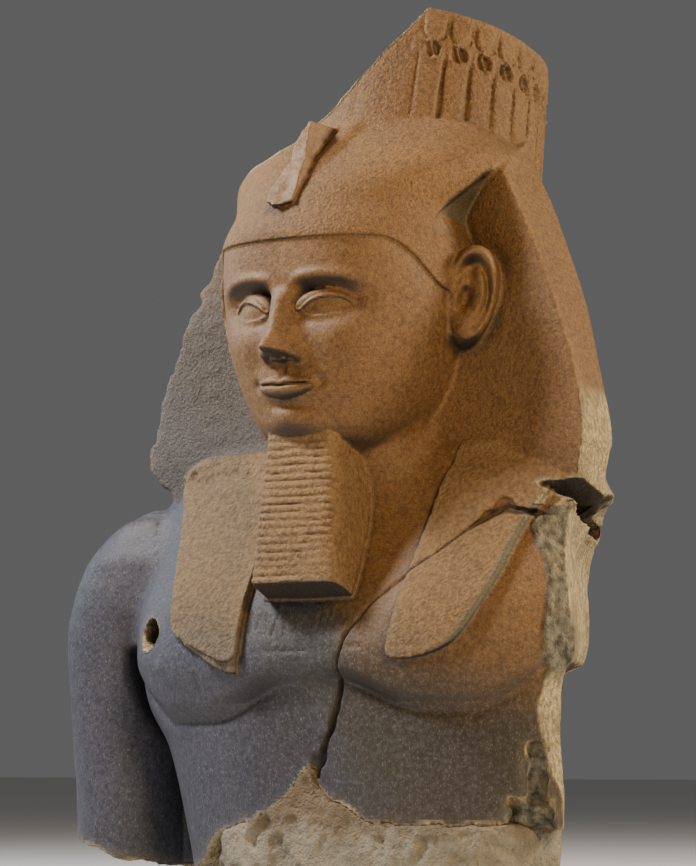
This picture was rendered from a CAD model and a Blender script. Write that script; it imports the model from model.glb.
import math

import bpy
import numpy as np
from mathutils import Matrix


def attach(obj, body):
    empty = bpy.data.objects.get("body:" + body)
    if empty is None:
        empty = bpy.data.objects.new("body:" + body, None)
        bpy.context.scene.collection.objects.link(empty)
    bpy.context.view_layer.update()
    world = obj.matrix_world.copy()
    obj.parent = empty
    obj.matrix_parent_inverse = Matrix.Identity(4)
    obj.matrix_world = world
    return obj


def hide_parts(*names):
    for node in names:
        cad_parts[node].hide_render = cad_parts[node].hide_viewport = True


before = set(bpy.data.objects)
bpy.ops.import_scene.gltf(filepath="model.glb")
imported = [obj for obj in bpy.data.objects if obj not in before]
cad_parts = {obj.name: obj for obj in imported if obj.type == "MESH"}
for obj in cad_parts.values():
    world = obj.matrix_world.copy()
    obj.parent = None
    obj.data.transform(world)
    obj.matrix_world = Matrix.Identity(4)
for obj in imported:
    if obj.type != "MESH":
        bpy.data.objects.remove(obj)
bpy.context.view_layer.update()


# The statue is looked at from its left front, 34 degrees round and from hip height, with a long lens.
turn = math.radians(34)
rise = math.radians(5.6)
distance_off, hip_height = 10.0, 0.43
photo_height, focal_pixels, sideways_pixels, sensor = 866, 3345, -14, 36
camera_data = bpy.data.cameras.new("camera")
camera_data.sensor_width = sensor
camera_data.lens = sensor * focal_pixels / photo_height
camera_data.shift_x = sideways_pixels / photo_height
camera_data.clip_end = 200
camera = bpy.data.objects.new("camera", camera_data)
camera.location = (distance_off * math.sin(turn), -distance_off * math.cos(turn), hip_height)
camera.rotation_euler = (math.pi / 2 + rise, 0, turn)
bpy.context.scene.collection.objects.link(camera)
bpy.context.scene.camera = camera


# Floor: smooth pale plaster, poured level and wide enough to reach the horizon in every view.
def new_material(name):
    """An empty node material: its nodes, its links, its surface shader and a function that adds a node."""
    material = bpy.data.materials.new(name)
    material.use_nodes = True
    nodes, links = material.node_tree.nodes, material.node_tree.links

    def node(kind, inputs=(), **settings):
        made = nodes.new(kind)
        for key, value in settings.items():
            setattr(made, key, value)
        for socket, value in dict(inputs).items():
            if isinstance(value, bpy.types.NodeSocket):
                links.new(value, made.inputs[socket])
            else:
                made.inputs[socket].default_value = value
        return made

    return material, node, links, nodes["Principled BSDF"]


floor_mesh = bpy.data.meshes.new("floor")
floor_reach = 60.0
floor_mesh.from_pydata(
    [(-floor_reach, -floor_reach, 0), (floor_reach, -floor_reach, 0),
     (floor_reach, floor_reach, 0), (-floor_reach, floor_reach, 0)], [], [(0, 1, 2, 3)])
floor = bpy.data.objects.new("floor", floor_mesh)
bpy.context.scene.collection.objects.link(floor)
plaster, node, links, shader = new_material("pale_plaster_floor")
place = node("ShaderNodeTexCoord").outputs["Object"]
clouds = node("ShaderNodeTexNoise", {"Vector": place, "Scale": 1.2, "Detail": 4.0})
tint = node("ShaderNodeMix", {0: clouds.outputs[0]}, data_type="RGBA")
tint.inputs[6].default_value = (0.66, 0.65, 0.63, 1)
tint.inputs[7].default_value = (0.72, 0.71, 0.69, 1)
links.new(tint.outputs[2], shader.inputs["Base Color"])
shader.inputs["Roughness"].default_value = 0.8
floor_mesh.materials.append(plaster)


# Light: a large soft lamp high on the statue's right, two warm ones on its left, before and behind the
# shoulder, and a faint cool one beside the arm, in a pale room.
lamp_aim_height = 1.4


def soft_lamp(name, azimuth, elevation, distance, size, power, colour):
    """A square area lamp at the azimuth and elevation, in degrees, that faces the statue's chest."""
    data = bpy.data.lights.new(name, "AREA")
    data.size, data.energy, data.color = size, power, colour
    lamp = bpy.data.objects.new(name, data)
    a, e = math.radians(azimuth), math.radians(elevation)
    lamp.location = (distance * math.sin(a) * math.cos(e), -distance * math.cos(a) * math.cos(e),
                     lamp_aim_height + distance * math.sin(e))
    lamp.rotation_euler = (math.pi / 2 - e, 0, a)
    bpy.context.scene.collection.objects.link(lamp)


soft_lamp("key_lamp", -48, 44, 4.5, 0.9, 500, (1.0, 0.98, 0.96))
soft_lamp("rim_lamp", 118, 26, 6.0, 1.4, 440, (1.0, 0.92, 0.74))
soft_lamp("warm_lamp", 58, 20, 5.5, 1.4, 270, (1.0, 0.70, 0.36))
soft_lamp("side_lamp", -88, 16, 6.5, 2.0, 130, (0.74, 0.84, 1.0))
room = bpy.data.worlds.new("room")
room.use_nodes = True
room.node_tree.nodes["Background"].inputs["Color"].default_value = (0.9, 0.9, 0.9, 1)
room.node_tree.nodes["Background"].inputs["Strength"].default_value = 0.13
bpy.context.scene.world = room


# Torso: the middle of one great block of granite, cut to a bare chest with full muscles and a broad back.
# The carver's grid is used for every form of the stone: one square is a tenth of a metre, and heights are
# counted from the lowest break of the stone, which is one square above the floor.
square = 0.1
lift = 1.0


def curve_through(pairs):
    """A smooth curve through pairs of place and size. Between two pairs it is the cubic whose slope at each
    pair is the harmonic mean of the slopes on both sides, so it never overshoots. It is tabled finely and
    read between."""
    places, sizes = np.array(pairs, float).T
    slopes = np.diff(sizes) / np.diff(places)
    before, after = np.append(slopes[0], slopes), np.append(slopes, slopes[-1])
    same_way = before * after > 0
    tangents = np.where(same_way, 2 * before * after / np.where(same_way, before + after, 1), 0)
    at = np.linspace(places[0], places[-1], 800)
    i = np.clip(np.searchsorted(places, at) - 1, 0, len(slopes) - 1)
    width = np.diff(places)[i]
    t = (at - places[i]) / width
    values = (sizes[i] + np.diff(sizes)[i] * t * t * (3 - 2 * t) + t * (1 - t) ** 2 * tangents[i] * width
              + t * t * (t - 1) * tangents[i + 1] * width)
    return lambda place: np.interp(place, at, values)


def slope_of(curve, z):
    """How fast a curve grows with height, read over a fifth of a square."""
    return (curve(z + 0.1) - curve(z - 0.1)) / 0.2


def smooth_step(low, high, value):
    """0 below low, 1 above high, and an S curve between them."""
    t = np.clip((value - low) / (high - low), 0, 1)
    return t * t * (3 - 2 * t)


def mound(x, z, centre_x, centre_z, half_width, half_height):
    """A round swelling in front view: 1 at its centre, falling off as a bell."""
    return np.exp(-((x - centre_x) / half_width) ** 2 - ((z - centre_z) / half_height) ** 2)


def rounded(x, y, half_width, centre_y, front, back, fullness):
    """Distance to an upright form with a rounded plan. The plan is a superellipse: the powers of the shares
    of its width and depth add to 1 on the surface. The excess over 1, divided by how fast it grows, is the
    distance."""
    depth = np.where(y < centre_y, front, back)
    across, along = np.abs(x) / half_width, np.abs(y - centre_y) / depth
    ring = (across ** fullness + along ** fullness) ** (1 / fullness) + 1e-6
    growth = np.hypot((across / ring) ** (fullness - 1) / half_width,
                      (along / ring) ** (fullness - 1) / depth)
    return (ring - 1) / growth


def merged(one, other, width):
    """The nearer of two distances, with the corner between the two forms filled over the given width."""
    share = np.clip(0.5 + 0.5 * (other - one) / width, 0, 1)
    return other + (one - other) * share - width * share * (1 - share)


torso_half_width = curve_through([
    (-2, 5.7), (0, 5.85), (1.5, 6.2), (3.7, 6.9), (5.2, 7.85), (6.6, 8.1), (8.5, 8.25), (9.8, 8.1),
    (10.7, 7.8), (11.3, 7.45), (11.9, 7.2), (12.4, 6.9), (13.4, 6.2)])
torso_front = curve_through([
    (-2, -2.7), (0.5, -2.75), (3, -2.75), (5, -2.75), (6.2, -3.0), (7.5, -2.8), (9, -2.2), (10.5, -1.4),
    (11.6, -0.85), (12.4, -0.42), (12.9, -0.14), (13.4, 0.25)])
torso_back = curve_through([
    (-2, 4.3), (4, 4.4), (8, 4.9), (10.5, 4.9), (11.7, 4.5), (12.4, 4.0), (13.4, 3.6)])
torso_centre, torso_top = 0.8, 13.4
left_flank = curve_through([(-2, 2.1), (1.5, 1.7), (3, 1.1), (4.4, 0.5), (5.6, 0), (14, 0)])


def muscle_edge(x):
    """Height of the chest muscle's lower edge: lowest under its middle, higher at breastbone and armpit."""
    away = np.abs(x) - 4.4
    return (4.5 + 0.25 * smooth_step(-2, 2, x) + 0.95 * smooth_step(0.7, 3.6, -away)
            + 1.6 * smooth_step(0.9, 3.7, away))


def chest_relief(x, z):
    """How far the carved chest stands proud: two muscles with a soft fold under them, a nipple on each, and a
    shallow middle line."""
    side, edge = np.abs(x), muscle_edge(x)
    span = smooth_step(0.0, 2.0, side) * (1 - smooth_step(6.2, 7.9, side))
    muscle = (0.33 * smooth_step(edge - 0.08, edge + 0.62, z) * (1 - smooth_step(5.6, 10, z))
              * (0.3 + 0.7 * span))
    fold = 0.1 * np.exp(-((z - edge + 0.04) / 0.16) ** 2) * (0.25 + 0.75 * span)
    middle = 0.13 * mound(x, z, 0, 3.6, 0.7, 2.8)
    nipple = 0.045 * np.exp(-(((side - 5.6) / 0.2) ** 2 + ((z - 6.1) / 0.2) ** 2) ** 2)
    return muscle - fold - middle + nipple


def over_ledge(y, z):
    """Distance over a slanting ledge, which runs across the chest under the headcloth's wings."""
    return 0.8 * (z - 11.9 - 0.75 * (y + 1.05))


def torso(x, y, z):
    """Rounded plans of changing width and depth, with the relief pushed out of the front half."""
    front, back = torso_centre - torso_front(z), torso_back(z) - torso_centre
    onto_front = smooth_step(0.05, 0.5, (torso_centre - y) / front)
    half_width = torso_half_width(z) + left_flank(z) * (x > 0)
    shape = rounded(x, y + chest_relief(x, z) * onto_front, half_width, torso_centre, front, back, 2.6)
    ledge = over_ledge(y, z) - 1.1 * smooth_step(5.9, 6.8, x)
    return np.maximum(shape, np.maximum(z - torso_top, ledge))


# Arm: the right arm is left down to a break below the elbow. It hangs straight, worked from the same block,
# with a round shoulder. A deep hollow under the armpit parts it from the flank, and a sunk web of stone still
# joins them.
arm_x = curve_through([
    (-1, -8.98), (1, -9.0), (4, -9.08), (6, -9.08), (7.4, -9.0), (8, -8.87), (9.25, -8.66), (9.9, -8.5),
    (10.5, -8.2), (10.8, -8.0)])
arm_half_width = curve_through([
    (-1, 1.72), (1, 1.74), (2.4, 1.74), (4, 1.82), (5.6, 1.94), (6.6, 2.05), (7.4, 2.12), (8, 2.1),
    (9.25, 1.8), (9.9, 1.4), (10.5, 0.8), (10.8, 0.25)])
arm_half_depth = curve_through([
    (-1, 2.1), (1, 2.15), (2.6, 2.2), (4, 2.3), (7.4, 2.45), (8, 2.45), (9.25, 2.3), (9.9, 2.0), (10.5, 1.5),
    (10.8, 0.8)])
arm_centre, arm_top = 0.9, 10.8


def arm(x, y, z):
    """Rounded plans hung on a nearly straight line. The distance is eased where the arm draws in above."""
    width, depth = arm_half_width(z), arm_half_depth(z)
    slope = slope_of(arm_half_width, z)
    shape = rounded(x - arm_x(z), y, width, arm_centre, depth, depth, 2.15) / np.sqrt(1 + slope ** 2)
    return np.maximum(shape, z - arm_top)


shoulder_reach = curve_through([
    (6.5, 0.6), (7.1, 1.7), (8, 2.4), (9.2, 2.5), (10.1, 2.1), (10.7, 1.3), (11.05, 0.4)])
shoulder_depth = curve_through([
    (6.5, 0.5), (7.1, 1.5), (8, 2.15), (9.2, 2.2), (10.1, 1.9), (10.7, 1.5), (11.05, 1.0)])


def shoulder(x, y, z):
    """A rounded body that fills the space between the arm and the chest above the armpit."""
    depth = shoulder_depth(z)
    slope = slope_of(shoulder_reach, z)
    shape = rounded(x + 7.6, y, shoulder_reach(z), arm_centre, depth, depth, 2.2) / np.sqrt(1 + slope ** 2)
    return np.maximum(shape, np.maximum(z - 11.05, 6.5 - z))


def block(x, y, z, low, high):
    """Distance to a square-cut block between two corners."""
    return np.maximum(np.maximum(np.maximum(low[0] - x, x - high[0]), np.maximum(low[1] - y, y - high[1])),
                      np.maximum(low[2] - z, z - high[2]))


def web(x, y, z):
    """A flat sunk panel between the arm and the flank."""
    return block(x, y, z, (-9.2, 0.9, -2), (-5, 2.6, 6.5))


armpit_middle = curve_through([(-3, 6.95), (3.2, 6.95), (4.2, 7.2), (5.2, 7.55), (6.5, 7.72), (12, 7.8)])


def armpit(x, y, z):
    """The hollow cut between the arm and the flank from the front: a narrow slot with a flat top."""
    half_width = np.interp(z, [0, 4, 6, 6.9], [0.16, 0.2, 0.26, 0.2])
    return np.maximum(np.maximum(np.abs(-x - armpit_middle(z)) - half_width, y - 0.9), z - 6.75)


def carved(body, hollow, width):
    """A body less a hollow, with the edge between them rounded over the given width."""
    return -merged(-body, hollow, width)


# Head: a full oval on a short strong neck, polished. The face is a calm plain one: a third of its height from
# chin to nose, a third to the brows, a third to the hairline, and nearly one eye's width between the eyes.
chin, band_line, hairline = 12.75, 18.4, 19.1
third = (hairline - chin) / 3
nose_base, brow = chin + third, chin + 2 * third
eye_height = chin + (hairline - chin) * 8 / 14
mouth = nose_base - third / 3
eye_x, eye_half, mouth_half = 1.36, 0.72, 1.06
head_half_width = curve_through([
    (11.8, 1.3), (12.35, 1.7), (12.8, 2.12), (13.4, 2.56), (14.5, 3.12), (16.2, 3.56), (17.6, 3.66),
    (18.6, 3.6), (20, 3.0)])
head_front = curve_through([
    (11.8, -2.1), (12.35, -2.85), (12.7, -3.35), (13.1, -3.6), (14.2, -3.85), (16, -4.08), (17.5, -4.24),
    (18.6, -4.25), (20, -3.5)])
head_centre, head_back, head_fullness = -0.3, 2.4, 2.4


def neck(x, y, z):
    """Rounded plans that spread towards the chest."""
    half_width = curve_through([(9, 4.2), (10.5, 3.6), (11.5, 2.9), (12.3, 2.55), (15, 2.5)])(z)
    front = curve_through([(9, -1.9), (10.5, -1.6), (11.5, -1.75), (12.3, -2.1), (15, -2.2)])(z)
    return np.maximum(rounded(x, y, half_width, 0.2, 0.2 - front, 2.4, 2.1), np.maximum(9 - z, z - 15))


def eye_relief(side, z):
    """A socket under a soft brow, the ball in it, and two lids: a thicker shell over the ball outside the
    almond opening, with a crease over the upper one. The lids end where that shell meets the socket."""
    q = (side - eye_x) / eye_half
    brow_line = brow + 0.36 - 0.26 * ((side - 1.3) / 1.3) ** 2
    span = smooth_step(0.1, 0.8, side) * (1 - smooth_step(1.9, 3.0, side))
    brow_band = 0.08 * span * np.exp(-(np.abs(z - brow_line) / 0.17) ** 2.6)
    window = smooth_step(0.2, 0.8, side) * (1 - smooth_step(1.7, 2.9, side))
    bowl = window * smooth_step(-0.04, 0.55, brow_line - z) * smooth_step(-0.62, 0.2, z - eye_height)
    socket = (-0.40 * bowl - 0.17 * mound(side, z, 0.62, eye_height + 0.12, 0.3, 0.45)
              - 0.05 * mound(side, z, 1.3, eye_height - 0.5, 0.9, 0.25))
    r = np.hypot((side - eye_x) / 0.94, (z - eye_height - 0.04) / 0.56)
    ball = -0.13 - 0.42 * (1 - np.sqrt(np.clip(1 - r * r, 0, 1))) - 0.12 * q
    arch = np.clip(1 - np.abs(q - 0.12 * (1 - q * q)) ** 2.2, 0, 1)
    middle = eye_height + 0.06 * q - 0.02
    upper = middle + 0.31 * arch ** 0.9
    lower = middle - 0.19 * np.clip(1 - q * q, 0, 1) ** 0.85
    inside = np.minimum(np.minimum(upper - z, z - lower), (1 - np.abs(q)) * eye_half * 0.6)
    above = smooth_step(-0.02, 0.05, z - middle)
    lid = (0.08 + 0.07 * above) * (1 - smooth_step(-0.03, 0.02, inside))
    shell = ball + lid + 0.02 * (1 - smooth_step(0, 0.09, -inside))
    crease = 0.05 * above * np.exp(-((z - upper - 0.17 - 0.05 * q) / 0.05) ** 2) * (np.abs(q) < 1.15)
    return brow_band + np.where(r < 1, -merged(-socket, -shell, 0.16), socket) - crease


def nose_relief(side, z):
    """A straight bridge that grows towards a round tip and falls away under it, and a wing with a nostril on
    each side."""
    tip, root = nose_base + 0.33, brow + 0.12
    along = np.clip((root - z) / (root - tip), 0, 1)
    ridge = 0.13 * smooth_step(0, 0.25, along) + 0.64 * along ** 1.15
    under = smooth_step(nose_base - 0.1, tip + 0.02, z)
    half_width = 0.38 + 0.12 * along ** 2
    bridge = ridge * under ** 0.8 * np.exp(-(side / half_width) ** 2)
    flank = 0.3 * ridge * under * np.exp(-(side / 0.74) ** 2)
    ball = 0.22 * under * np.exp(-((side / 0.4) ** 2 + ((z - tip - 0.02) / 0.32) ** 2) ** 1.2)
    wing = 0.5 * np.exp(-(((side - 0.5) / 0.24) ** 2 + ((z - nose_base - 0.24) / 0.25) ** 2) ** 1.4)
    nostril = 0.3 * mound(side, z, 0.25, nose_base + 0.06, 0.12, 0.05)
    return -merged(-bridge - flank - ball, -wing, 0.12) - nostril


def mouth_relief(side, z):
    """Full lips with crisp borders and nearly level corners on a soft swelling, a groove above and a hollow
    below."""
    s = side / mouth_half
    fade = np.clip(1 - s ** 2, 0, 1)
    line = mouth + 0.07 * s ** 2 - 0.015 * np.exp(-(side / 0.16) ** 2)
    upper_height = 0.27 * fade ** 0.75 - 0.06 * np.exp(-(side / 0.12) ** 2) + 1e-3
    lower_height = 0.36 * fade ** 0.6 + 1e-3
    up, down = (z - line) / upper_height, (line - z) / lower_height
    upper = np.where((up >= 0) & (up < 1), np.sqrt(np.clip(1 - ((up - 0.3) / 0.76) ** 2, 0, 1)), 0)
    lower = np.where((down > 0) & (down < 1), np.sqrt(np.clip(1 - ((down - 0.36) / 0.68) ** 2, 0, 1)), 0)
    lips = (0.23 * upper + 0.28 * lower) * fade ** 0.45
    parting = 0.12 * np.exp(-((z - line) / 0.04) ** 2) * smooth_step(1.04, 0.9, s)
    swelling = 0.22 * mound(side, z, 0, mouth + 0.02, 1.2, 0.66)
    corner = 0.13 * mound(side, z, mouth_half + 0.06, line, 0.15, 0.16)
    groove = (0.06 * mound(side, z, 0, nose_base - 0.25, 0.1, 0.24)
              - 0.03 * mound(side, z, 0.2, nose_base - 0.28, 0.08, 0.2))
    under = 0.12 * mound(side, z, 0, mouth - 0.56, 0.62, 0.15)
    return lips - parting + swelling - corner - groove - under


def head(x, y, z):
    """Rounded plans with the face pushed out of the front."""
    side, depth = np.abs(x), head_centre - head_front(z)
    chin_swell = 0.26 * mound(side, z, 0, chin + 0.45, 0.8, 0.42)
    cheek = (0.2 * mound(side, z, 1.8, nose_base + 0.55, 0.9, 0.85)
             - 0.05 * mound(side, z, 1.05, nose_base - 0.05, 0.3, 0.35))
    relief = eye_relief(side, z) + nose_relief(side, z) + mouth_relief(side, z) + chin_swell + cheek
    onto_front = smooth_step(0.05, 0.55, (head_centre - y) / depth)
    shape = rounded(x, y + relief * onto_front, head_half_width(z), head_centre, depth, head_back,
                    head_fullness)
    return np.maximum(shape, np.maximum(11.8 - z, z - 20))


# Ears: carved standing out before the headcloth and turned half forward, wide above and narrow at the lobe.
ear_turn = math.radians(34)
ear_x, ear_y, ear_z, ear_half_height, ear_half_width = 4.03, -0.28, 16.9, 1.47, 0.8


def ear_carving(across, up):
    """Height of the carved face of an ear: a round rim with a groove inside it, a second fold, a deep bowl
    with a small flap before it, and a soft lobe."""
    ring = np.hypot(across / ear_half_width, up / ear_half_height)
    back_part = smooth_step(-0.75, 0.1, across / ear_half_width + 0.55 * up / ear_half_height)
    rim = 0.2 * back_part * np.exp(-((ring - 0.86) / 0.13) ** 2)
    groove = -0.15 * back_part * np.exp(-((ring - 0.62) / 0.1) ** 2) * smooth_step(-0.75, -0.1, up)
    fold = 0.12 * smooth_step(-0.1, 0.25, across - 0.15 * up) * np.exp(-((ring - 0.42) / 0.12) ** 2)
    bowl = -0.46 * np.exp(-(((across + 0.14 - 0.12 * up) / 0.22) ** 2 + ((up + 0.06) / 0.36) ** 2) ** 1.6)
    upper_bowl = -0.26 * np.exp(-(((across + 0.08) / 0.2) ** 2 + ((up - 0.66) / 0.32) ** 2) ** 1.3)
    flap = 0.2 * mound(across, up, -0.42, -0.05, 0.14, 0.24)
    lobe = 0.14 * mound(across, up, -0.12, -1.05, 0.36, 0.36)
    level = 0.2 + 0.24 * smooth_step(-0.9, -0.1, across / ear_half_width) + 0.12 * up / ear_half_height
    return level + rim + groove + fold + bowl + upper_bowl + flap + lobe


def ear(x, y, z):
    """An egg-shaped outline, leaning a little back, filled up to the height of the carving."""
    out, back, up = np.abs(x) - ear_x, y - ear_y, z - ear_z
    across = out * math.cos(ear_turn) + back * math.sin(ear_turn) - 0.1 * up
    proud = out * math.sin(ear_turn) - back * math.cos(ear_turn)
    width = ear_half_width * (1 + 0.2 * up / ear_half_height)
    ring = np.hypot(across / width, up / ear_half_height) + 1e-6
    outline = (ring - 1) / np.hypot(across / width ** 2, up / ear_half_height ** 2) * ring
    edge_round = 0.16 * smooth_step(-0.22, 0.0, outline) ** 2
    face = (proud - ear_carving(across, up) + edge_round) * 0.8
    return -merged(-outline * 0.9, -face, 0.08)


# Headcloth: a plain linen cloth cut in stone. A dome sits close on the skull with its band on the forehead,
# two wings stand out behind the ears and run into the broad back, and two lappets fall on the chest.
dome_half_width = curve_through([
    (16.6, 3.7), (17.8, 3.76), (18.4, 3.8), (19, 3.88), (19.5, 3.98), (20, 4.14), (20.4, 4.3), (20.8, 4.42),
    (21.2, 4.38), (21.6, 4.15), (22.0, 3.75), (22.4, 3.2)])
dome_front = curve_through([
    (16.6, -4.1), (17.8, -4.3), (18.4, -4.36), (19, -4.22), (19.6, -3.96), (20.4, -3.35), (21.2, -2.35),
    (21.8, -1.55), (22.2, -1.0), (22.4, -0.7)])
band_proud = 0.1


def band_height(y):
    """The band's lower edge: level over the forehead, dropping before the ear."""
    return band_line + 0.05 - 1.4 * smooth_step(-3.3, -0.9, y)


def lens_scoop(y, z):
    """1 in a lens-shaped hollow in the dome's side, behind a line that rises from the ear to the crown."""
    lens = np.clip(1 - ((z - 19.75) / 1.15) ** 2, 0, 1) ** 0.8
    return lens * smooth_step(-0.15, 0.45, y + 1.5 - (z - 18.9) * 0.95) * (1 - smooth_step(2.5, 4, y))


def dome(x, y, z):
    """Low down the head's own plan made a little larger, and higher up a fuller one of its own, with the
    scooped hollow in each side and the cobra's tail as a low ridge on top."""
    side = np.abs(x) + 0.42 * lens_scoop(y, z)
    snug = rounded(side, y, head_half_width(z) + band_proud, head_centre,
                   head_centre - head_front(z) + band_proud, head_back, head_fullness)
    full = rounded(side, y, dome_half_width(z), 1.2, 1.2 - dome_front(z), 4.4, 2.1)
    slope = slope_of(dome_half_width, z)
    shape = snug + (full / np.sqrt(1 + slope ** 2) - snug) * smooth_step(18.2, 20.2, z)
    tail = 0.22 * np.exp(-((x - 0.3 - 0.12 * (z - 21)) / 0.34) ** 4) * smooth_step(20.2, 21.1, z) * (y < 0)
    return np.maximum(shape - tail, np.maximum(band_height(y) - z, z - 22.4))


wing_edge = curve_through([
    (11, 6.9), (11.6, 7.2), (12.2, 7.72), (12.5, 7.87), (14.5, 7.49), (16.55, 6.8), (18.4, 5.93),
    (20.45, 4.86), (21.6, 4.1)])
wing_front = curve_through([
    (11, -0.2), (12.45, -0.34), (14.5, -0.16), (16.55, -0.1), (18.4, 0.2), (20.45, 0.45), (21.6, 0.9)])
wing_back_edge = curve_through([
    (11, 1.2), (14.5, 1.27), (16.55, 1.68), (18.4, 2.1), (20.45, 2.5), (21.6, 2.6)])
wing_back = curve_through([(11, 4.9), (14.5, 5.2), (18, 5.7), (20.5, 6.0), (21.6, 5.9)])


def wings(x, y, z):
    """A slightly dished front panel, a flat side strip at each edge, and a rounded back. Above they are cut
    in a slope that the dome covers. The right edge is chipped, and the left one is wider at its lower end."""
    side = np.abs(x)
    chips = (0.34 * np.clip(np.abs(stone_noise(x, y, z, 0.7, 71)) - 0.28, 0, None)
             + 0.16 * np.clip(flakes(x, y, z, 0.45, 72), 0, None))
    wider = 0.5 * smooth_step(12.4, 11.4, z)
    edge = wing_edge(z) - np.where((x < 0) & (y < 0.9), chips, 0) + np.where(x > 0, wider, 0)
    dish = 0.35 * np.sin(np.pi * np.clip(side / edge, 0, 1)) ** 2
    panel = (wing_front(z) + dish - y) * 0.97
    strip = (side - edge) * 0.92
    start = wing_back_edge(z)
    reach = wing_back(z) - start
    across, along = side / edge, np.clip(y - start, 0, None) / reach
    ring = (across ** 1.5 + along ** 1.5) ** (1 / 1.5) + 1e-6
    growth = np.hypot((across / ring) ** 0.5 / edge, (along / ring) ** 0.5 / reach)
    back = np.where(y > start, (ring - 1) / growth, strip)
    body = merged(-panel, -np.maximum(strip, back), 0.12)
    return np.maximum(-body, np.maximum(11 - z, 0.85 * (z - 20.75 - 0.5 * (y - 0.6))))


right_lappet_outer = curve_through([
    (6.0, 4.8), (7.1, 4.95), (7.8, 5.1), (8.8, 5.38), (10.9, 5.95), (11.6, 6.3), (13, 7.0)])
left_lappet_outer = curve_through([
    (6.0, 3.2), (6.25, 4.3), (6.7, 5.05), (7.5, 5.55), (8.6, 6.0), (9.8, 6.3), (10.8, 6.7), (11.6, 7.3),
    (13, 8.6)])


def lappets(x, y, z, skin_distance):
    """A layer on the chest, as thick as the cloth, inside an outline in front view with rounded corners. It
    dies away above, where it runs into the wings. The right one is chipped off in a slant at its foot, and a
    thin rough layer is left below the slant."""
    side = np.abs(x)
    right = x < 0
    outer = side - np.where(right, right_lappet_outer(z), left_lappet_outer(z))
    inner = np.where(right, 2.15 + 0.02 * (z - 7), 3.05 + 0.1 * (z - 6.2)) - side
    slant = np.where(right, 6.2 + 0.41 * np.clip(side - 2.7, 0, None), 6.2 + 0.04 * (side - 3) ** 2)
    thickness = 0.3 * (1 - smooth_step(11.4, 12.3, z))
    sides = -merged(-outer, -inner, 0.25)
    whole_cloth = np.maximum(-merged(-sides, -(slant - z), 0.4), skin_distance - thickness)
    left_over = 0.17 + 0.14 * stone_noise(x, y, z, 0.3, 81)
    rough_cloth = np.maximum(np.maximum(sides + 0.1, slant - 0.62 - z + 0.12 * side),
                             skin_distance - left_over)
    layer = np.where(right, np.minimum(whole_cloth, rough_cloth), whole_cloth)
    return np.maximum(layer, np.maximum(y - 0.4, over_ledge(y, z)))


# Brow cobra: it reared over the forehead and is broken off. A slim stump with a worn, broken front is left.
def cobra_stump(x, y, z):
    """The space behind uneven faces: the broken front, which leans back and is a little hollow, two sides
    that draw together upwards, and a foot."""
    wear = 0.07 * flakes(x, y, z, 0.55, 97) + 0.03 * stone_noise(x, y, z, 0.25, 98)
    front = (-(y + 4.12) + 0.56 * (z - 19.57) + 0.08 * x - 0.25 * (x + 0.1) ** 2) * 0.87 + wear
    right = (-x - 0.6 + 0.17 * (z - 19.6)) * 0.98 + wear
    left = (x - 0.42 + 0.1 * (z - 19.6) + 0.12 * np.abs(z - 20.4)) * 0.98 - wear
    foot = 19.52 + 0.1 * np.abs(x) - z + wear
    return np.maximum(np.maximum(front, np.maximum(left, right)), np.maximum(foot, z - 22.2))


# Beard: a long block strapped under the chin, wider below, carved in nineteen nearly level flutes, finely
# pecked, and cut off below in a slope.
beard_top, beard_foot, beard_flutes = 12.85, 8.45, 19


def beard(x, y, z):
    """Nearly square plans with a row of round ridges in front, which are worn away at one lower corner."""
    t = np.clip((z - beard_foot) / (beard_top - beard_foot), 0, 1)
    bow = np.cos(np.clip(x / 1.6, -1, 1) * np.pi / 2)
    bend = 0.012 * bow + 0.01 * stone_noise(x, y, z, 0.8, 91)
    ridge = np.abs(np.sin(np.pi * beard_flutes * (t + bend))) ** 0.6
    worn = smooth_step(0.2, 1.5, x + 0.5) * (1 - smooth_step(8.6, 9.6, z))
    flute = 0.085 * (1 - ridge) * (1 - 0.85 * worn)
    on_front = smooth_step(-1.9, -2.6, y)
    front = -3.78 + 0.42 * t - 0.06 * bow
    shape = rounded(x, y, 1.56 - 0.34 * t - flute * (0.12 + 0.4 * on_front), front + 1.1, 1.1 - flute, 1.8, 7)
    foot = beard_foot - 0.62 * smooth_step(-3.9, -2.0, y) - z
    return np.maximum(shape, np.maximum(foot * 0.9, z - beard_top))


# Crown base: a leaning oval drum that carried the crown, carved all round with rearing cobras side by side.
# Each has a flat body between two grooves, a small drilled head and a round disc above it.
drum_half_width, drum_front, drum_back, drum_height = 3.78, 4.36, 3.3, 4.0
drum_centre, drum_foot, drum_lean = 3.1, 21.32, math.radians(14)
cobra_step, head_level = 12.5, 2.62


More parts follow.
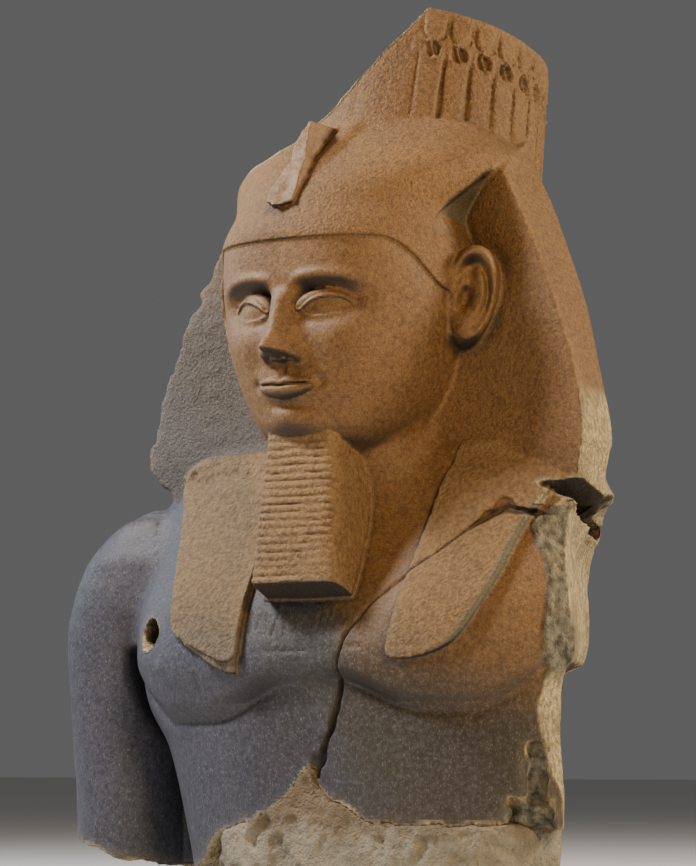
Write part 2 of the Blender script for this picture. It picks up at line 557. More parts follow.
def cobra_frieze(angle, up):
    """Height of the carving at an angle round the drum, in degrees, and a height on it. Bodies are flat
    panels with grooves between them, narrow above and as a slim lens below. Heads are round hollows with a
    drilled knob left in them, and the discs above hang from the rim as tongues, with narrow grooves round
    them. Near the front the carving is worn faint."""
    cell = angle / cobra_step
    u = (cell - np.round(cell)) * 0.88
    to_groove = 0.44 - np.abs(u)
    lens = 0.052 + 0.055 * np.exp(-((up - 0.75) / 0.7) ** 2)
    body = (-0.14 * np.exp(-(to_groove / lens) ** 2) * smooth_step(0.1, 0.4, up)
            * (1 - smooth_step(2.2, 2.55, up)))
    from_head = ((np.abs(u) / 0.26) ** 3 + (np.abs(up - head_level) / 0.25) ** 3) ** (1 / 3)
    hollow = -0.2 * np.exp(-(from_head / 0.95) ** 6)
    knob = 0.16 * np.exp(-((u + 0.5 * (up - head_level)) / 0.07) ** 2) * (from_head < 1.2)
    rim = 0.035 * np.exp(-((from_head - 1.25) / 0.2) ** 2)
    disc_width = 0.36 * np.sqrt(np.clip(1 - (np.clip(3.35 - up, 0, None) / 0.42) ** 2, 0, 1))
    seam = -0.1 * np.exp(-((np.abs(u) - disc_width - 0.02) / 0.055) ** 2) * smooth_step(2.9, 3.0, up)
    disc = 0.03 * smooth_step(-0.03, 0.05, disc_width - np.abs(u)) * (up > 2.9)
    shown = 0.12 + 0.88 * smooth_step(22, 44, np.abs(angle))
    under_rim = 1 - smooth_step(3.55, 3.85, up)
    return (body + hollow + knob + rim + (disc + seam) * under_rim) * shown


def drum(x, y, z):
    """Leaning ellipses that draw in upwards, with the frieze on their face."""
    back = (y - drum_centre) * math.cos(drum_lean) - (z - drum_foot) * math.sin(drum_lean)
    up = (y - drum_centre) * math.sin(drum_lean) + (z - drum_foot) * math.cos(drum_lean)
    shrink = 1 - 0.07 * up / drum_height
    depth = np.where(back < 0, drum_front, drum_back) * shrink
    fullness = np.where(back < 0, 2.0, 2.5)
    shape = rounded(x, back, drum_half_width * shrink, 0, depth, depth, fullness)
    angle = np.degrees(np.arctan2(x / drum_half_width, -back / np.where(back < 0, drum_front, drum_back)))
    near = shape > -0.6
    shape[near] -= cobra_frieze(angle[near], up[near])
    return np.maximum(shape, np.maximum(up - drum_height, -1.4 - up))


# Back pillar: a plain square slab runs up the back from the foot into the crown, as such statues have.
def pillar(x, y, z):
    """A square-cut upright slab."""
    return block(x, y, z, (-1.9, 3.4, -2), (1.9, 6.95, 24.2))


# Breaks: the foot, the left side and the top of the crown are torn off along rough slanting faces. A long
# crack runs down from a chipped place on the left shoulder, and a round hole was drilled beside the right
# lappet.
mixing_factors, seed_factor, last_factor = (374761393, 668265263, 2246822519), 974634777, 1274126177


def random_of(whole, steps, seed):
    """A random value between -1 and 1 for each corner of a net. The corner's three whole numbers, each moved
    by its step, are multiplied by large odd numbers and added to the seed's, and the sum's bits are mixed."""
    key = np.full(len(whole[0]), seed * seed_factor % 2 ** 32, np.uint32)
    for number, step, factor in zip(whole, steps, mixing_factors):
        key += (number + step) * np.uint32(factor)
    key = (key ^ (key >> np.uint32(13))) * np.uint32(last_factor)
    return ((key ^ (key >> np.uint32(16))) & np.uint32(65535)) / 32767.5 - 1


def stone_noise(x, y, z, size, seed):
    """Soft random hills between -1 and 1: each corner of a cubic net of the given size has a random value,
    and the values are blended smoothly between the corners."""
    places = [c / size for c in (x, y, z)]
    corners = [np.floor(p) for p in places]
    shares = [p - c for p, c in zip(places, corners)]
    shares = [s * s * (3 - 2 * s) for s in shares]
    whole = [c.astype(np.int64).astype(np.uint32) for c in corners]
    total = np.zeros(len(x))
    for corner in range(8):
        bits = [np.uint32((corner >> k) & 1) for k in range(3)]
        weight = 1.0
        for share, bit in zip(shares, bits):
            weight = weight * (share if bit else 1 - share)
        total += random_of(whole, bits, seed) * weight
    return total


def flakes(x, y, z, size, seed):
    """Flat faces that meet in sharp edges. Each corner of a slanting cubic net has a random height, and the
    heights are joined by straight lines from corner to corner in the order of the point's three shares of its
    cell."""
    slanted = ((0.80 * x + 0.36 * y - 0.48 * z) / size, (-0.60 * x + 0.48 * y - 0.64 * z) / size,
               (0.8 * y + 0.6 * z) / size)
    corners = [np.floor(p) for p in slanted]
    shares = np.stack([p - c for p, c in zip(slanted, corners)])
    whole = [c.astype(np.int64).astype(np.uint32) for c in corners]
    order = np.argsort(-shares, axis=0)
    sorted_shares = np.take_along_axis(shares, order, 0)
    total, before = 0.0, 1.0
    for k in range(4):
        steps = [(order[:k] == n).any(0).astype(np.uint32) for n in range(3)]
        after = sorted_shares[k] if k < 3 else 0.0
        total = total + random_of(whole, steps, seed) * (before - after)
        before = after
    return total


def rugged(x, y, z, seed):
    """Broken granite: large flat flakes, smaller ones on them, and grit on top."""
    grit = stone_noise(x, y, z, 0.2, seed + 2)
    large, small = flakes(x, y, z, 2.3, seed), flakes(x, y, z, 0.95, seed + 1)
    return 0.26 * large + 0.18 * small + 0.08 * flakes(x, y, z, 0.4, seed + 4) + 0.03 * grit


under_break = curve_through([
    (-13, 1.6), (-10.8, 1.2), (-9.6, 0.75), (-8.0, 0.36), (-7.0, 0.05), (-5, 0), (-4.3, 0.25), (-3.95, 0.7),
    (-3.5, 1.15), (-1.9, 1.6), (-0.8, 2.3), (-0.1, 3.15), (0.35, 2.4), (1.45, 1.75), (2.4, 1.47), (6.7, 1.42),
    (9, 1.0)])
crown_break = curve_through([
    (-9, 18.9), (-5, 20.6), (-3.5, 21.2), (-2.1, 21.75), (-1.2, 22.45), (-0.2, 23.25), (0.9, 24.6),
    (1.8, 25.9), (4, 28.9)])
side_break = curve_through([
    (-2.5, 6.8), (1.8, 6.98), (3, 6.96), (4.1, 6.92), (5.2, 7.0), (5.85, 7.12), (6.15, 7.42), (6.8, 7.55),
    (8, 7.42), (9, 7.22), (9.8, 7.0), (10.5, 7.1), (11.0, 7.6), (11.5, 8.3), (12.2, 10.0)])
side_sweep = curve_through([
    (-2.5, 0.62), (3, 0.5), (5.8, 0.52), (6.15, 0.42), (8, 0.4), (9, 0.36), (10, 0.22), (12.2, 0.1)])


def below_foot(x, y, z):
    """Distance into the lost stone under the bust: the break's line in front view, carried back rough."""
    ragged = 0.35 * rugged(x, y, 0 * z, 3) + 0.09 * flakes(x, y, 0 * z, 0.45, 6)
    return (under_break(x) + ragged - z) * 0.8


def over_crown(x, y, z):
    """Distance into the lost stone of the crown's right half, above a slanting rough face."""
    return (z - crown_break(x) - 0.05 * y - 0.6 * rugged(x, y, z, 11)) * 0.66


front_edge_x = curve_through([
    (-2.5, 7.5), (1, 7.5), (2.1, 7.38), (3.16, 7.1), (4.23, 7.0), (5.33, 7.15), (6.19, 7.42), (6.74, 7.5),
    (8.05, 7.45), (8.93, 7.2), (10.13, 6.65), (10.7, 6.9), (11.2, 8.0), (12.2, 10.5)])
front_edge_y = curve_through([
    (-2.5, -0.8), (1, -0.85), (3.16, -1.1), (5.33, -1.28), (6.19, -1.3), (8.05, -1.2), (10.13, -0.93),
    (12.2, -0.8)])
side_break_top = 12.2


def beyond_side(x, y, z):
    """Distance into the lost stone of the left arm and side: outside a face that sweeps in towards the back,
    or before a narrower face along its front edge, which looks more to the front."""
    high = smooth_step(5.4, 6.0, z)
    rough = (0.3 + 0.2 * high + 0.5 * smooth_step(-0.3, 1.6, y)) * rugged(x, y, 0.55 * z, 23)
    face = (x - side_break(z) - 0.5 + (side_sweep(z) + 0.1) * np.maximum(y + 1, -1)
            - np.minimum(rough, 0.14 + 0.3 * high)) * 0.9
    lean = 0.18 + 0.3 * high
    front_face = (x - front_edge_x(z) - lean * (y - front_edge_y(z)) - 0.7 * rough) * 0.9
    return np.where(z < side_break_top, np.maximum(face, front_face), -1.0)


def foot_chips(x, y, z):
    """Two rough flake scars beside the broken side: a tall shallow one, and one that bevels the foot."""
    across, towards_camera = 0.83 * x + 0.56 * y, 0.56 * x - 0.83 * y
    rough = flakes(x, y, z, 0.5, 57)
    tall = np.minimum(0.27 - np.abs(across - 4.98) + 0.1 * rough, 0.82 - np.abs(z - 2.95) + 0.2 * rough)
    tall = np.minimum(0.8 * tall, towards_camera - 4.8 + 0.16 * rough)
    low = np.minimum(0.62 - np.abs(across - 4.85) + 0.2 * rough,
                     towards_camera - 4.92 + 0.5 * (2.2 - z) + 0.2 * rough)
    return np.maximum(tall, 0.8 * np.minimum(low, 2.2 - z + 0.2 * rough))


crack_path = np.array([
    (6.9, 10.35), (6.2, 10.42), (5.7, 10.55), (5.25, 10.25), (4.8, 9.9), (4.05, 9.25), (3.0, 8.5), (2.2, 7.8),
    (1.5, 6.9), (1.2, 6.0), (1.1, 5.3), (0.7, 4.2), (0.15, 3.0)])
crack_half_width = np.array([0.05, 0.14, 0.22, 0.17, 0.06, 0.05, 0.05, 0.055, 0.06, 0.08, 0.1, 0.13, 0.26])
crack_depth = np.array([0.1, 0.22, 0.3, 0.26, 0.1, 0.08, 0.08, 0.1, 0.14, 0.2, 0.26, 0.3, 0.32])
shoulder_line = np.array([(-7.25, 10.9), (-6.95, 9.9), (-6.7, 9.0)])


def beside_path(x, z, path, half_widths):
    """Share of the half-width at which each point lies beside a line of straight stretches, in front view,
    and its place along the line, counted in stretches."""
    best, along = np.full(len(x), 9.0), np.zeros(len(x))
    for k, ((x0, z0), (x1, z1)) in enumerate(zip(path[:-1], path[1:])):
        length = (x1 - x0) ** 2 + (z1 - z0) ** 2
        t = np.clip(((x - x0) * (x1 - x0) + (z - z0) * (z1 - z0)) / length, 0, 1)
        away = np.hypot(x - x0 - t * (x1 - x0), z - z0 - t * (z1 - z0))
        share = away / (half_widths[k] + t * (half_widths[k + 1] - half_widths[k]))
        along = np.where(share < best, k + t, along)
        best = np.minimum(best, share)
    return best, along


def stroke_relief(x, z):
    """Shallow slanting strokes in a row, with a line under them. They stand for worn signs, with no words."""
    cell = (x + 1.95) / 0.3
    number = np.round(cell)
    lean = 0.34 * np.sin(2.4 * number)
    reach = 0.34 + 0.1 * np.sin(5.1 * number)
    away = np.abs(cell - number - lean * (z - 7.3) / 0.42) * 0.3
    row = (np.exp(-(away / 0.032) ** 2) * smooth_step(0.06, -0.06, np.abs(z - 7.3) - reach)
           * (np.abs(x) < 2.0))
    line = np.exp(-((z - 6.5 - 0.03 * x) / 0.035) ** 2) * (np.abs(x + 0.2) < 2.3)
    return 0.045 * row + 0.04 * line


# The whole stone: all forms are joined, the breaks are taken away, and the surface is found on a net of
# points that is finest at the face. Where two forms meet the hard stone keeps a small round fillet.
far_off = 1.5


def stone_parts(x, y, z):
    """Distances to the carved forms, each worked out only near its own form."""
    def near(form, low, high):
        inside = ((x > low[0]) & (x < high[0]) & (y > low[1]) & (y < high[1]) & (z > low[2]) & (z < high[2]))
        out = np.full(len(x), far_off)
        out[inside] = form(x[inside], y[inside], z[inside])
        return out

    body = near(torso, (-9.8, -5, -3), (9.8, 7, 13.6))
    limb = merged(near(arm, (-13, -3, -3), (-5, 5, 12)), near(shoulder, (-12, -3, 5), (-3.5, 5, 12.3)), 0.5)
    hollow = near(armpit, (-9.4, -4, -3), (-5, 2.4, 8))
    flesh = carved(merged(body, limb, 0.25), hollow, 0.22)
    flesh = merged(flesh, near(web, (-11, -0.5, -3), (-3, 4, 7.7)), 0.15)
    throat = near(neck, (-5.6, -3.6, 7.5), (5.6, 4, 16.3))
    face = near(head, (-5, -6.4, 11), (5, 3.5, 21.2))
    cloth = near(wings, (-9.4, -1.8, 10), (9.4, 7.4, 22.8))
    cap = near(dome, (-5.7, -5.6, 15.5), (5.7, 7, 23.6))
    layer = np.full(len(x), far_off)
    on_chest = (body < 1.4) & (np.abs(x) > 1.4) & (np.abs(x) < 9) & (y < 1.4) & (z > 5) & (z < 13)
    layer[on_chest] = lappets(x[on_chest], y[on_chest], z[on_chest], body[on_chest])
    return {
        "flesh": flesh, "neck": throat, "face": face, "wings": cloth, "cap": cap, "lappets": layer,
        "ears": near(ear, (-6, -2.3, 14.2), (6, 2, 19)),
        "stump": near(cobra_stump, (-1.9, -5.5, 18.5), (1.9, 1, 23)),
        "beard": near(beard, (-2.9, -5.3, 6.8), (2.9, 0.2, 14)),
        "drum": near(drum, (-5, -2.5, 18.2), (5, 8, 27.5)),
        "pillar": near(pillar, (-3.2, 2, -3), (3.2, 8.2, 25.5)),
    }


drill_x, drill_z, drill_radius = -6.28, 7.12, 0.34


def wing_chip(x, y, z):
    """A rough gash between the left wing's lower end and the broken side: a wedge that opens outwards and
    falls away towards the back."""
    middle = 11.2 - 0.25 * (y + 0.6)
    opening = np.minimum(0.5 * (x - 6.5 + 0.3 * np.abs(y + 0.2)), 0.26)
    return (opening - np.abs(z - middle) + 0.16 * flakes(x, y, z, 0.7, 95)) * 0.8


def breaks(x, y, z):
    """Distance into the lost stone, and into the cuts made later: the drilled hole."""
    lost = np.full(len(x), -far_off)
    places = (
        (below_foot, z < 5), (over_crown, (z > 18) & (x < 5)), (beyond_side, (x > 4.5) & (z < 12.3)),
        (foot_chips, (x > 4.5) & (z < 4.4) & (y < 1)),
        (wing_chip, (x > 5.5) & (np.abs(z - 10.8) < 1.6) & (y < 4)))
    for form, inside in places:
        lost[inside] = np.maximum(lost[inside], form(x[inside], y[inside], z[inside]))
    hole = (np.abs(x - drill_x) < 1) & (np.abs(z - drill_z) < 1) & (y < 0)
    hx, hy, hz = x[hole], y[hole], z[hole]
    radius = np.hypot(hx - drill_x, hz - drill_z)
    chipped = 0.1 * np.abs(stone_noise(hx, hy, hz, 0.3, 5)) + 0.12 * smooth_step(-1.7, -2.2, hy)
    lost[hole] = np.maximum(lost[hole], np.minimum(drill_radius + chipped - radius, -0.2 - hy))
    return lost


def stone(x, y, z):
    """The statue's distance: the carved forms with fillets between them, less the strokes, the crack, a
    shallow line on the right shoulder, and the breaks."""
    parts = stone_parts(x, y, z)
    whole = merged(parts["flesh"], parts["neck"], 0.6)
    whole = merged(whole, parts["wings"], 0.28)
    whole = np.minimum(whole, parts["pillar"])
    cut = (y < 0) & (z > 2) & (z < 12.4) & (np.abs(whole) < 1.2)
    xc, yc, zc = x[cut], y[cut], z[cut]
    wobble = 1 + 0.6 * stone_noise(xc, yc, zc, 0.3, 7)
    beside, along = beside_path(xc, zc, crack_path, crack_half_width)
    depth = np.interp(along, np.arange(len(crack_depth)), crack_depth)
    line = beside_path(xc, zc, shoulder_line, np.full(3, 0.05))[0]
    whole[cut] = whole[cut] + stroke_relief(xc, zc) * (whole[cut] > -0.3)
    whole = merged(whole, parts["lappets"], 0.05)
    whole[cut] = (whole[cut] + depth * np.clip(1 - beside / wobble, 0, 1) ** 0.7
                  + 0.04 * np.clip(1 - line, 0, 1))
    whole = merged(whole, parts["face"], 0.22)
    whole = merged(whole, parts["cap"], 0.05 + 0.4 * smooth_step(20.0, 20.9, z) * (y > -1.5))
    whole = merged(whole, parts["ears"], 0.26)
    whole = merged(whole, parts["stump"], 0.05)
    whole = merged(whole, parts["beard"], 0.06)
    whole = merged(whole, parts["drum"], 0.16)
    return np.maximum(whole, breaks(x, y, z))


def graded(stops, times):
    """Net places whose spacing changes smoothly: stops are pairs of place and spacing. The count of steps up
    to a place is the sum of the inverse of the spacing, and the places are read where that count is whole."""
    places, spacings = np.array(stops, float).T
    fine = np.linspace(places[0], places[-1], 20000)
    count = np.cumsum((fine[1] - fine[0]) / (times * np.interp(fine, places, spacings)))
    return np.interp(np.arange(int(count[-1])), count, fine)


def surface_of(form, xs, ys, zs):
    """The surface where a distance is 0, on a net of points. Far from it the distance is read once for each
    box of 4 points a side. Each cell with points on both sides gets one vertex, the mean of the places where
    its edges cross the surface, and each edge that crosses it gets the four-sided face of the cells around
    it."""
    step, at_once = 4, 1000000
    counts = [len(xs), len(ys), len(zs)]
    lines = (xs, ys, zs)
    starts = [line[np.arange(0, n, step)] for line, n in zip(lines, counts)]
    ends = [line[np.minimum(np.arange(0, n, step) + step, n - 1)] for line, n in zip(lines, counts)]
    middles = [0.5 * (start + end) for start, end in zip(starts, ends)]
    reach = [end - start for start, end in zip(starts, ends)]
    bx, by, bz = np.meshgrid(*middles, indexing="ij")
    rough = form(bx.ravel(), by.ravel(), bz.ravel()).reshape(bx.shape)
    span = 0.5 * np.sqrt(
        reach[0][:, None, None] ** 2 + reach[1][None, :, None] ** 2 + reach[2][None, None, :] ** 2)
    close = np.abs(rough) < 1.5 * span + 0.12
    spread = [np.arange(n) // step for n in counts]
    value = rough.astype(np.float32)[np.ix_(*spread)]
    i, j, k = np.nonzero(close[np.ix_(*spread)])
    for start in range(0, len(i), at_once):
        part = slice(start, start + at_once)
        value[i[part], j[part], k[part]] = form(xs[i[part]], ys[j[part]], zs[k[part]])
    within = value < 0
    low, high = within[:-1, :-1, :-1].copy(), within[:-1, :-1, :-1].copy()
    shifts = [(a, b, c) for a in (0, 1) for b in (0, 1) for c in (0, 1)]
    for a, b, c in shifts[1:]:
        corner = within[a:counts[0] - 1 + a, b:counts[1] - 1 + b, c:counts[2] - 1 + c]
        low &= corner
        high |= corner
    ci, cj, ck = np.nonzero(high & ~low)
    number = np.full(low.shape, -1, np.int32)
    number[ci, cj, ck] = np.arange(len(ci))
    corner_value = {s: value[ci + s[0], cj + s[1], ck + s[2]] for s in shifts}
    at = (ci, cj, ck)
    total, crossings = np.zeros((len(ci), 3)), np.zeros(len(ci))
    for axis in range(3):
        for s in shifts:
            if s[axis]:
                continue
            e = tuple(1 if n == axis else s[n] for n in range(3))
            v0, v1 = corner_value[s], corner_value[e]
            crosses = (v0 < 0) != (v1 < 0)
            share = np.where(crosses, v0 / np.where(crosses, v0 - v1, 1), 0)
            for n in range(3):
                start = lines[n][at[n] + s[n]]
                if n == axis:
                    start = start + share * (lines[n][at[n] + 1] - lines[n][at[n]])
                total[:, n] += np.where(crosses, start, 0)
            crossings += crosses
    vertices = total / crossings[:, None]
    quads = []
    for axis in range(3):
        first = within[tuple(slice(0, -1) if n == axis else slice(1, -1) for n in range(3))]
        second = within[tuple(slice(1, None) if n == axis else slice(1, -1) for n in range(3))]
        e = np.nonzero(first != second)
        e = [e[n] + (0 if n == axis else 1) for n in range(3)]
        b, c = (axis + 1) % 3, (axis + 2) % 3
        ring = []
        for db, dc in ((-1, -1), (0, -1), (0, 0), (-1, 0)):
            cell = [e[0].copy(), e[1].copy(), e[2].copy()]
            cell[b] += db
            cell[c] += dc
            ring.append(number[cell[0], cell[1], cell[2]])
        ring = np.stack(ring, 1)
        outward = within[e[0], e[1], e[2]]
        quads.append(np.where(outward[:, None], ring, ring[:, ::-1]))
    return vertices, np.concatenate(quads)


def normals_of(vertices, quads):
    """Each vertex's normal: the sum of the cross products of the diagonals of the faces around it, made unit
    long."""
    one, other = (vertices[quads[:, n + 2]] - vertices[quads[:, n]] for n in (0, 1))
    cross = np.cross(one, other)
    total = np.zeros_like(vertices)
    for n in range(3):
        total[:, n] = np.bincount(quads.ravel(), np.repeat(cross[:, n], 4), len(vertices))
    return total / (np.linalg.norm(total, axis=1)[:, None] + 1e-12)


spacing = 1.075
xs = graded([(-11.6, 0.11), (-5.4, 0.085), (-3.0, 0.042), (3.0, 0.042), (5.0, 0.056), (8.4, 0.08)], spacing)
ys = graded([(-5.6, 0.042), (-2.2, 0.043), (-0.4, 0.06), (4.3, 0.06), (5.2, 0.16), (7.4, 0.2)], spacing)
zs = graded([
    (-0.7, 0.11), (4, 0.095), (8.2, 0.062), (12.5, 0.044), (19.2, 0.047), (21.5, 0.058), (26.9, 0.052)],
    spacing)
vertices, quads = surface_of(stone, xs, ys, zs)
normals = normals_of(vertices, quads)


# Pieces of the stone's surface for the model, parted along straight lines. Each is closed behind the surface
# by a narrow rim that goes straight in, and from there by a fan of faces to a point deep in the stone.
rim_depth = 0.12
def stone_marks(vertices, normals):
    """What the stone is like at each vertex, from 0 to 1: broken, pecked with a point, sunk where dirt lies,
    worn on an edge, warm or grey in colour, stained dark green, sooty on its underside, dark where it is
    broken, and paler brown on the right wing."""
    x, y, z = vertices.T
    parts = stone_parts(x, y, z)
    lost = breaks(x, y, z)
    fray = 0.05 * stone_noise(x, y, z, 0.5, 31)
    broken = smooth_step(-0.1, -0.01, lost + fray)
    beside = beside_path(x, z, crack_path, np.maximum(crack_half_width, 0.06))[0]
    in_crack = (1 - smooth_step(0.35, 1.0, beside)) * (y < 0) * (z < 12)

    def on_skin(part, reach):
        return 1 - smooth_step(0.03, reach, np.abs(parts[part]))

    pecked = np.maximum.reduce([
        on_skin("lappets", 0.09), on_skin("beard", 0.1), 0.6 * on_skin("cap", 0.12),
        0.5 * on_skin("wings", 0.12), 0.55 * on_skin("drum", 0.12), 0.6 * (y > 3)])
    out = vertices + 0.35 * normals
    in_hole = (np.hypot(x - drill_x, z - drill_z) < 0.6) * smooth_step(-2.05, -1.6, y) * (y < 0)
    sunk = np.maximum.reduce([np.clip(1 - stone(*out.T) / 0.35, 0, 1), 0.9 * in_crack, in_hole])
    under = smooth_step(0.35, 0.92, -normals[:, 2]) * (z > 5) * (y < 3)
    inward = vertices - 0.3 * normals
    worn = np.clip(1 + stone(*inward.T) / 0.3, 0, 1)
    drift = stone_noise(x, y, z, 2.4, 41) + 0.5 * stone_noise(x, y, z, 0.9, 42)
    across = x + 0.45 * (z - 7) + 0.6 * np.clip(z - 10, 0, None)
    upward = 0.42 + 0.58 * smooth_step(5.2, 10.2, z + 0.25 * x + 0.9 * drift)
    warm = smooth_step(-3.4, 1.4, across + 0.8 * drift) * upward
    far_wing = smooth_step(-2.5, -4.2, x) * on_skin("wings", 0.12) * smooth_step(20.5, 16, z)
    warm = warm * (1 - 0.5 * far_wing)
    garment = np.maximum(on_skin("lappets", 0.12), on_skin("beard", 0.1))
    ground = 0.3 + 0.6 * smooth_step(6.3, 8.6, z + 0.3 * drift) * (1 - 0.4 * smooth_step(-2.2, -3.2, x))
    warm = np.maximum(warm, garment * ground)
    seen_from_front = 0.83 * x + 0.56 * y
    chunk = np.maximum(mound(seen_from_front, z, 4.95, 2.95, 0.36, 1.05),
                       mound(seen_from_front, z, 4.8, 1.5, 0.8, 0.75))
    weathered = 0.9 * smooth_step(0.15, 0.42, -normals[:, 1]) * smooth_step(5.3, 6.0, z) * (z < 10.6)
    dark_chunk = np.maximum(smooth_step(0.32, 0.5, chunk), weathered) * (x > 4)
    wing_break = (smooth_step(0.35, 0.62, normals[:, 0]) * smooth_step(14.2, 13.7, z + 0.5 * drift)
                  * (z > 10.6) * (x > 6))
    broken = np.maximum(broken, 0.8 * wing_break)
    scoop = lens_scoop(y, z) * on_skin("cap", 0.12)
    sunk = sunk * (1 - 0.7 * scoop) * (1 - 0.5 * on_skin("ears", 0.1))
    stained = 0.9 * scoop * (x > 0)
    lappet_edge = (np.exp(-((x - left_lappet_outer(z)) / 0.12) ** 2) * smooth_step(6.1, 6.4, z)
                   * smooth_step(11.4, 10.6, z))
    stained = np.maximum(stained, lappet_edge * (y < 0.5) * smooth_step(0.0, 0.06, parts["flesh"]))
    return {
        "broken": broken, "pecked": pecked, "sunk": sunk, "worn": worn, "warm": warm, "stained": stained,
        "under": under, "dark_chunk": dark_chunk, "far_wing": np.clip(far_wing, 0, 1)}


def stone_piece(name, vertices, quads, normals, marks, chosen, heart):
    """One closed piece from the chosen faces of a larger surface, with the marks kept at its vertices. Its
    heart is the point that the fan runs to."""
    own = quads[chosen]
    used, own = np.unique(own, return_inverse=True)
    own = own.reshape(-1, 4)
    edges = np.concatenate([own[:, [n, (n + 1) % 4]] for n in range(4)])
    keys = edges[:, 0].astype(np.int64) * len(used) + edges[:, 1]
    back_keys = edges[:, 1].astype(np.int64) * len(used) + edges[:, 0]
    open_edges = edges[~np.isin(keys, back_keys)]
    rim = np.unique(open_edges)
    points = np.vstack([vertices[used], vertices[used[rim]] - rim_depth * normals[used[rim]], heart])
    inner = len(used) + np.searchsorted(rim, open_edges)
    strip = np.stack([open_edges[:, 1], open_edges[:, 0], inner[:, 0], inner[:, 1]], 1)
    fan = np.stack([inner[:, 1], inner[:, 0], np.full(len(inner), len(points) - 1)], 1)
    mesh = bpy.data.meshes.new(name)
    placed = (points + np.array([0, 0, lift])) * square
    four_sided = np.vstack([own, strip])
    loops = np.concatenate([four_sided.ravel(), fan.ravel()])
    starts = np.concatenate([np.arange(len(four_sided)) * 4, four_sided.size + np.arange(len(fan)) * 3])
    totals = np.concatenate([np.full(len(four_sided), 4), np.full(len(fan), 3)])
    mesh.vertices.add(len(placed))
    mesh.vertices.foreach_set("co", placed.astype(np.float32).ravel())
    mesh.loops.add(len(loops))
    mesh.loops.foreach_set("vertex_index", loops.astype(np.int32))
    mesh.polygons.add(len(starts))
    mesh.polygons.foreach_set("loop_start", starts.astype(np.int32))
    mesh.polygons.foreach_set("loop_total", totals.astype(np.int32))
    mesh.update(calc_edges=True)
    mesh.validate()
    mesh.polygons.foreach_set("use_smooth", np.ones(len(mesh.polygons), bool))
    smooth_normals = np.vstack([normals[used], normals[used[rim]], [0, 0, 1]])
    mesh.normals_split_custom_set_from_vertices(smooth_normals.tolist())
    for mark, values in marks.items():
        layer = mesh.attributes.new(mark, "FLOAT", "POINT")
        stored = np.concatenate([values[used], values[used[rim]], [0]])
        layer.data.foreach_set("value", stored.astype(np.float32))
    piece = bpy.data.objects.new(name, mesh)
    bpy.context.scene.collection.objects.link(piece)
    return piece


marks = stone_marks(vertices, normals)
mx, my, mz = vertices[quads].mean(1).T
hearts = {
    "crown_right": (-0.5, 3, 20.5), "crown_left": (1.8, 3, 20.8), "headcloth_top": (0, 2.5, 17),
    "face": (0, 0.5, 15.5), "headcloth_wings": (0, 2.5, 11.5), "headcloth_back": (0, 2.5, 14),
    "right_arm": (-8.9, 1.3, 7), "back": (0, 2, 7), "chest_and_beard": (0, 2.5, 11), "waist": (0, 2, 6)}
crown_level, cap_level, shoulder_level, arm_level, waist_level = 21.2, 18.7, 12.5, 10.9, 7.7
crown_split, face_plane, back_plane = 1.2, -1.35, 2.2
above_chest = mz > shoulder_level
regions = np.select(
    [(mz > crown_level) & (mx < crown_split), mz > crown_level, mz > cap_level,
     above_chest & (my < face_plane), above_chest & (my < back_plane), above_chest,
     (mx < -armpit_middle(mz)) & (mz < arm_level), my > back_plane, mz > waist_level],
    list(hearts)[:9], "waist")
bust_pieces = {}
for name, heart in hearts.items():
    piece = stone_piece(name, vertices, quads, normals, marks, regions == name, heart)
    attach(piece, "root")
    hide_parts("pharaoh_bust")
    bust_pieces[name] = piece
    print(name, 2 * int((regions == name).sum()), "triangles")


# Granite: a hard two-tone stone, warm brown in the head and dark grey in the body, with pale crystals that
# lie mostly upright and black mica between them. Skin is rubbed smooth, cloth is pecked, and breaks are bare
# and rough.
granite, node, links, shader = new_material("two_tone_granite")
place = node("ShaderNodeTexCoord").outputs["Object"]


def attribute(name):
    """A mark of the stone's surface, read in the material."""
    return node("ShaderNodeAttribute", attribute_name=name).outputs["Fac"]


def math_of(operation, one, other=0.0, clamp=False):
    """A sum, product or the like of two values."""
    return node("ShaderNodeMath", {0: one, 1: other}, operation=operation, use_clamp=clamp).outputs[0]


def mixed(share, one, other, blend="MIX"):
    """One colour turned into another by a share."""
    made = node("ShaderNodeMix", {0: share}, data_type="RGBA", blend_type=blend)
    for socket, value in ((6, one), (7, other)):
        if isinstance(value, bpy.types.NodeSocket):
            links.new(value, made.inputs[socket])
        else:
            made.inputs[socket].default_value = (*value, 1)
    return made.outputs[2]


def ranged(value, low, high, to_low=0.0, to_high=1.0):
    """A value stretched from one range to another and held there."""
    return node("ShaderNodeMapRange", {0: value, 1: low, 2: high, 3: to_low, 4: to_high}).outputs[0]


def noise(scale, detail=3.0, vector=None):
    """Soft random clouds."""
    inputs = {"Vector": vector or place, "Scale": scale, "Detail": detail}
    return node("ShaderNodeTexNoise", inputs).outputs[0]


broken, pecked, sunk, worn, warm = (attribute(mark) for mark in ("broken", "pecked", "sunk", "worn", "warm"))
upright = node("ShaderNodeMapping", {"Vector": place, "Scale": (1.0, 1.0, 0.5)}).outputs[0]
crystals = node("ShaderNodeTexVoronoi", {"Vector": upright, "Scale": 115.0}, feature="F1")
crystal_size = math_of("MULTIPLY", noise(70.0, 2.0), 0.5)
fleck_shape = ranged(math_of("ADD", crystals.outputs["Distance"], crystal_size), 0.56, 0.34)
crystal_tone = node("ShaderNodeSeparateColor", {0: crystals.outputs["Color"]}).outputs[0]
pale_ones = ranged(math_of("SUBTRACT", crystal_tone, math_of("MULTIPLY", warm, 0.25)), 0.4, 1.0)
small_crystals = node("ShaderNodeTexVoronoi", {"Vector": upright, "Scale": 230.0}, feature="F1")
small_tone = node("ShaderNodeSeparateColor", {0: small_crystals.outputs["Color"]}).outputs[0]
